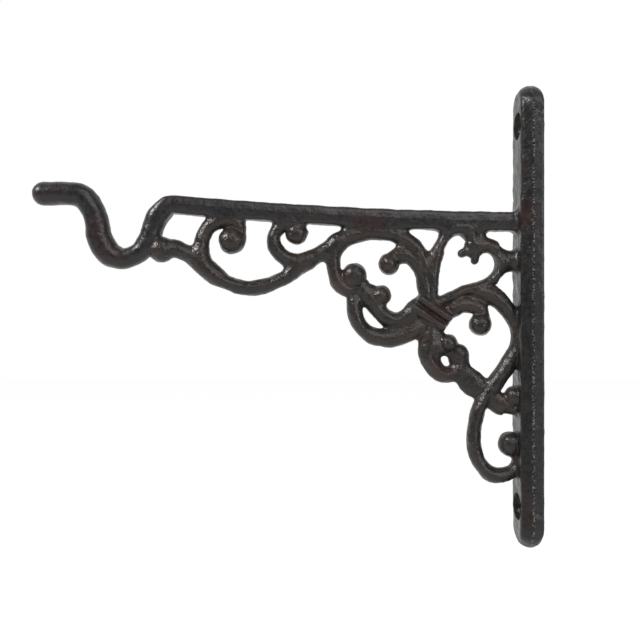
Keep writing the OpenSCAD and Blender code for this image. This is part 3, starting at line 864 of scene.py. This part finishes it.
# %% Faces of the plate
around, rows, along = len(out_y), len(half_section), len(side_z)
fold = np.arange(around)
fold[along : around - len(end_turn) - along] = along - 1
fold[along + len(end_turn) : around - len(end_turn)] = np.arange(along)[::-1]
fold[around - len(end_turn) :] = 0
quads = grid_faces(rows, around)[0]
last_ring = (rows - 1) * around
quads = np.where(quads < around, fold[quads % around], quads)
quads = np.where(quads >= last_ring, last_ring + fold[quads % around], quads)
thin_start, thin_end = quads[:, 0] == quads[:, 3], quads[:, 1] == quads[:, 2]
tris = np.vstack((quads[thin_start][:, [0, 1, 2]], quads[thin_end][:, [0, 1, 3]]))
quads = quads[~(thin_start | thin_end)]
used, place = np.unique(np.concatenate((quads.ravel(), tris.ravel())), return_inverse=True)
plate_points = plate_points[used]
quads, tris = place[: quads.size].reshape(-1, 4), place[quads.size :].reshape(-1, 3)
plate = make_mesh("wall_plate_cast", plate_points, quads, tris)
print("plate's volume in cm3:", round(volume(plate_points, quads, tris) / 1000, 1))
pieces["wall_plate"] = plate

# %% Screw holes
HOLE_SIDES = 64
RECESS_UP, RECESS_ASIDE, RECESS_WIDER = 8.4, -1.3, 1.0
HOLE_SKIN, HOLE_STEP = (0.1, 0.05, 0.0), 0.5
CRISP_EDGE = np.radians(38)
bore, head = SCREW_HOLE_D / 2, SCREW_HEAD_D / 2
sink = head - bore
profile = even_rows(np.array([
    (-1.5, bore + 0.5), (-0.2, bore + 0.3), (0.6, bore), (RECESS_UP - sink, bore), (RECESS_UP, head),
    (PLATE_TOP + 1.5, head + 1.2),
]), HOLE_STEP)[0]


def hole_cutter(z):
    """A turned form whose radius at height h above the wall is the profile's.

    From the foot of the recess to its rim it moves aside and grows wider, in proportion to the height.
    """
    turn = np.arange(HOLE_SIDES) * 2 * np.pi / HOLE_SIDES
    h, r = profile[:, 0, None], profile[:, 1, None]
    share = np.clip((h - RECESS_UP + sink) / sink, 0, 1)
    across = (r + RECESS_WIDER * share) * np.cos(turn) + RECESS_ASIDE * share
    ring = np.stack((-h + 0 * turn, across, r * np.sin(turn) + z), -1)
    way = np.stack((0 * h + 0 * turn, np.cos(turn) + 0 * h, np.sin(turn) + 0 * h), -1)
    ring = roughen(ring.reshape(-1, 3), way.reshape(-1, 3), *HOLE_SKIN)
    points = np.vstack((ring, [(-profile[0, 0], 0, z), (-profile[-1, 0], RECESS_ASIDE, z)]))
    return make_mesh("hole_cutter", points, *grid_faces(len(profile), HOLE_SIDES))


for side in (-1, 1):
    cutter = hole_cutter(side * SCREW_SPACING / 2)
    cut = plate.modifiers.new("hole", "BOOLEAN")
    cut.operation, cut.solver, cut.object = "DIFFERENCE", "MANIFOLD", cutter
    drilled = bpy.data.meshes.new_from_object(plate.evaluated_get(bpy.context.evaluated_depsgraph_get()))
    plate.modifiers.clear()
    drilled.materials.clear()
    plate.data = drilled
    bpy.data.objects.remove(cutter)
plate.data.shade_smooth()
plate.data.set_sharp_from_angle(angle=CRISP_EDGE)
print("plate points with its holes:", len(plate.data.vertices))

# %% [markdown]
# Lights and the white room
#
# The photograph shows the bracket cut out on white, lit by one soft lamp from the upper left of the
# camera, with white behind it and a darker room on the camera's side. The white is made for the
# camera and for mirror-like rays, so that it shows behind the bracket and as the pale rims on its
# edges, but doesn't flood the dark iron with light. A pale floor far below takes the shadow.

# %% Shader nodes
def feed(tree, socket, value):
    """Gives a socket what another socket puts out, or a number, a place or a colour of three numbers."""
    if isinstance(value, bpy.types.NodeSocket):
        tree.links.new(value, socket)
    else:
        socket.default_value = (*value, 1) if socket.type == "RGBA" else value


def add(tree, kind, sockets, out=0, **settings):
    """Adds a shader node with its settings, feeds its sockets, and returns one of its outputs."""
    node = tree.nodes.new("ShaderNode" + kind)
    for key, value in settings.items():
        setattr(node, key, value)
    for key, value in sockets.items():
        feed(tree, node.inputs[key], value)
    return node.outputs[out]


def spread(tree, value, low, high, to_low, to_high):
    """Maps a value from the range low to high onto the range to_low to to_high, and keeps it there."""
    return add(tree, "MapRange", {
        "Value": value, "From Min": low, "From Max": high, "To Min": to_low, "To Max": to_high,
    })


FRONT_DARK = 0.05


def seen_by(tree, white, place, reach, others=0.0):
    """A strength: white for camera and transmission rays, others for light that bounces.

    A mirror-like ray gets white where place's Y is past the end of reach, and a little of it in front.
    """
    depth = add(tree, "SeparateXYZ", {0: add(tree, "TexCoord", {}, place)}, "Y")
    mirrored = spread(tree, depth, *reach, FRONT_DARK * white, white)
    rays = tree.nodes.new("ShaderNodeLightPath").outputs
    strength = others
    for ray, own in (("Is Glossy Ray", mirrored), ("Is Camera Ray", white), ("Is Transmission Ray", white)):
        strength = add(tree, "Mix", {"Factor": rays[ray], 2: strength, 3: own}, data_type="FLOAT")
    return strength


print("share of the white that a mirror sees in front:", FRONT_DARK)

# %% World
scene.view_settings.view_transform = "Standard"
AMBIENT = 0.25
scene.world = bpy.data.worlds.new("white_room")
scene.world.use_nodes = True
tree = scene.world.node_tree
back = tree.nodes["Background"].inputs
feed(tree, back["Color"], (1, 1, 1))
feed(tree, back["Strength"], seen_by(tree, 1.0, "Generated", (-0.25, 0.45), AMBIENT))
print("world's strength on the object:", AMBIENT)

# %% Floor
FLOOR_Z, FLOOR_HALF, FLOOR_GREY, FLOOR_GLOW = -0.45, 6.0, 0.8, 0.78
corners = np.array([(-1, -1, 0), (1, -1, 0), (1, 1, 0), (-1, 1, 0)], float) * FLOOR_HALF / MM
corners[:, 2] = FLOOR_Z / MM
floor = make_mesh("floor", corners, np.array([[0, 1, 2, 3]]), np.zeros((0, 3), int))
floor_paint = bpy.data.materials.new("pale_floor")
floor_paint.use_nodes = True
tree = floor_paint.node_tree
tree.nodes.clear()
matt = add(tree, "BsdfDiffuse", {"Color": (FLOOR_GREY,) * 3})
glow = add(tree, "Emission", {"Strength": seen_by(tree, FLOOR_GLOW, "Object", (-0.2, 0.5))})
both = add(tree, "AddShader", {0: matt, 1: glow})
feed(tree, tree.nodes.new("ShaderNodeOutputMaterial").inputs["Surface"], both)
floor.data.materials.append(floor_paint)
print("floor below the plate's foot in mm:", round(-PLATE_H / 2 - FLOOR_Z / MM, 1))

# %% Lamps
LIT_MIDDLE = np.array((-0.12, 0, 0))
LAMPS = {
    "key": ((-1.38, -0.7, 1.05), 0.26, 25.0),
    "top": ((0.15, -0.85, 0.75), 0.7, 4.5),
    "fill": ((0.75, -0.8, 0.2), 0.5, 4.0),
}
for name, (place, size, power) in LAMPS.items():
    data = bpy.data.lights.new(name, "AREA")
    data.size, data.energy = size, power
    lamp = bpy.data.objects.new(name, data)
    lamp.location = place
    x, y, z = LIT_MIDDLE - place
    lamp.rotation_euler = (np.arctan2(np.hypot(x, y), -z), 0, np.arctan2(y, x) - np.pi / 2)
    scene.collection.objects.link(lamp)
print("lamps:", len(LAMPS))

# %% [markdown]
# Cast iron under old wax
#
# The iron is brown-black, with warm patches where rust shows through the wax, and it shines only a
# little. Three things vary together on the real surface: colour, shine and relief. So one material
# function makes all three kinds from the same noises. The hook and arm were handled and are smoother,
# the scrolls are mottled, and the wall plate shines least. Crests and edges are painted paler, partly as
# wear and partly as a painted highlight, and creases and hollows get painted shade. The plate's side
# behind its ridge is painted paler as painted light, and the ridge carries painted glints in small specks.

# %% Colours and features of the iron
# Greys: edges (wear and a painted highlight), painted light on the plate's side, painted glints on its ridge.
EDGE_WEAR_AND_HIGHLIGHT_GREY, LIT_SIDE_GREY, RIDGE_GLINT_GREY = (0.06, 0.053, 0.05), (0.034, 0.034, 0.035), (0.14, 0.14, 0.145)
# The second share darkens creases and hollows as painted shade.
MOTTLE_PALER, CREASE_SHADE_SHARE = 1.9, 0.35
SPOT_RED = (0.036, 0.016, 0.014)
WARM_SPOTS = [
    ((-0.213, -0.005, 0.043), 0.011), ((-0.208, -0.005, 0.032), 0.009), ((-0.082, -0.004, 0.0455), 0.012),
    ((-0.050, -0.006, 0.001), 0.010), ((-0.048, -0.004, -0.028), 0.011), ((-0.096, -0.004, 0.020), 0.008),
    ((-0.187, -0.004, 0.022), 0.008), ((-0.008, -0.012, 0.048), 0.010), ((-0.160, -0.004, 0.015), 0.009),
]
# How many features there are to the metre.
PATCHES, MOTTLE, HOLLOWS, GRAINS, SPECKS = 75, 420, 520, 800, 1100
IRONS = {
    # The plate's iron also gets painted light on its side and painted glints along its ridge.
    "plate_iron": dict(
        dark=(0.011, 0.011, 0.0112), warm=(0.022, 0.015, 0.012), rust=0.02, shine=0.3, mirror=0.27,
        grain=0.0001, pits=0.00008, wear_and_ridge_light=True,
    ),
    "arm_iron": dict(
        dark=(0.0128, 0.0128, 0.0142), warm=(0.026, 0.018, 0.0152), rust=0.02, shine=0.3, mirror=0.4,
        grain=0.00015, pits=0.00005,
    ),
    "scroll_iron": dict(
        dark=(0.0155, 0.0138, 0.0126), warm=(0.034, 0.021, 0.0165), rust=0.06, shine=0.29, mirror=0.4,
        grain=0.00022, pits=0.0001,
    ),
}
print("warm spots:", len(WARM_SPOTS), "finest feature in mm:", round(1000 / SPECKS, 1))

# %% Iron
def noise(tree, place, scale, detail, rough=0.55):
    """A cloud of noise, with scale features to the metre."""
    given = {"Vector": place, "Scale": scale, "Detail": detail, "Roughness": rough}
    return add(tree, "TexNoise", given, "Fac")


def mix(tree, amount, first, second):
    """A colour between first and second: the second where amount is 1."""
    return add(tree, "Mix", {"Factor": amount, 6: first, 7: second}, 2, data_type="RGBA")


def paint_ridge_light(tree, place, colour):
    """The plate's colour with painted light on its side behind the ridge, and painted glints in specks along
    the ridge.
    """
    ridge = -EDGE_UP * MM
    behind = ridge + 0.7 * MM
    depth = add(tree, "SeparateXYZ", {0: place}, "X")
    # Painted light: the side behind the ridge is paler.
    colour = mix(tree, spread(tree, depth, ridge, behind, 0.0, 0.6), colour, LIT_SIDE_GREY)
    # Painted glints: bright specks along the ridge.
    ridge_glints = spread(tree, noise(tree, place, SPECKS, 2), 0.53, 0.6, 0.0, 1.0)
    for band in ((ridge - 1.2 * MM, ridge - 0.3 * MM, 0, 1), (ridge, behind, 1, 0)):
        ridge_glints = add(tree, "Math", {0: ridge_glints, 1: spread(tree, depth, *band)}, operation="MULTIPLY")
    return mix(tree, ridge_glints, colour, RIDGE_GLINT_GREY)


def cast_iron(name, dark, warm, rust, shine, mirror, grain, pits, wear_and_ridge_light=False):
    """Cast iron.

    dark and warm are its two colours, rust their balance, shine the roughness and mirror how strongly it
    reflects. grain and pits are heights in metres. The last argument gives it painted light on the plate's
    side behind its ridge and painted glints along the ridge.
    """
    paint = bpy.data.materials.new(name)
    paint.use_nodes = True
    tree = paint.node_tree
    shader = tree.nodes["Principled BSDF"].inputs
    place = add(tree, "TexCoord", {}, "Object")
    edge = add(tree, "NewGeometry", {}, "Pointiness")
    patches, mottle = noise(tree, place, PATCHES, 3), noise(tree, place, MOTTLE, 4, 0.65)
    paler, crease_shade = (tuple(share * c for c in dark) for share in (MOTTLE_PALER, CREASE_SHADE_SHARE))
    colour = dark
    for value, *ends, over in (
        (patches, 0.5 - rust, 0.72 - rust, 0.0, 1.0, warm), (mottle, 0.35, 0.7, 0.0, 0.8, paler),
        # Crests and edges paler, partly as wear and partly as a painted highlight; creases get painted shade.
        (edge, 0.51, 0.58, 0.0, 0.4, EDGE_WEAR_AND_HIGHLIGHT_GREY), (edge, 0.42, 0.49, 0.55, 0.0, crease_shade),
    ):
        colour = mix(tree, spread(tree, value, *ends), colour, over)
    for at, size in WARM_SPOTS:
        far = add(tree, "VectorMath", {0: place, 1: at}, "Value", operation="DISTANCE")
        colour = mix(tree, spread(tree, far, 0.3 * size, size, 0.5, 0.0), colour, SPOT_RED)
    # Painted light on the plate's side and painted glints along its ridge.
    if wear_and_ridge_light:
        colour = paint_ridge_light(tree, place, colour)
    feed(tree, shader["Base Color"], colour)
    feed(tree, shader["Roughness"], spread(tree, mottle, 0.3, 0.7, shine - 0.1, shine + 0.14))
    shader["Specular IOR Level"].default_value = mirror
    fine = add(tree, "Bump", {"Height": noise(tree, place, GRAINS, 3, 0.6), "Distance": grain})
    hollows = add(tree, "TexVoronoi", {"Vector": place, "Scale": HOLLOWS}, "Distance")
    deep = spread(tree, hollows, 0.0, 0.45, 0.0, 1.0)
    feed(tree, shader["Normal"], add(tree, "Bump", {"Height": deep, "Distance": pits, "Normal": fine}))
    return paint


paints = {name: cast_iron(name, **iron) for name, iron in IRONS.items()}
print("kinds of iron:", len(paints))

# %% Paint the pieces
SLOTS = {"wall_plate": "plate_iron", "arm_bar": "arm_iron", "hook_rod": "arm_iron"}
for node, piece in pieces.items():
    slot = SLOTS.get(node, "scroll_iron")
    piece.data.materials.append(paints[slot])
    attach(piece, "root")
    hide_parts(node)
print("pieces finished:", len(pieces))
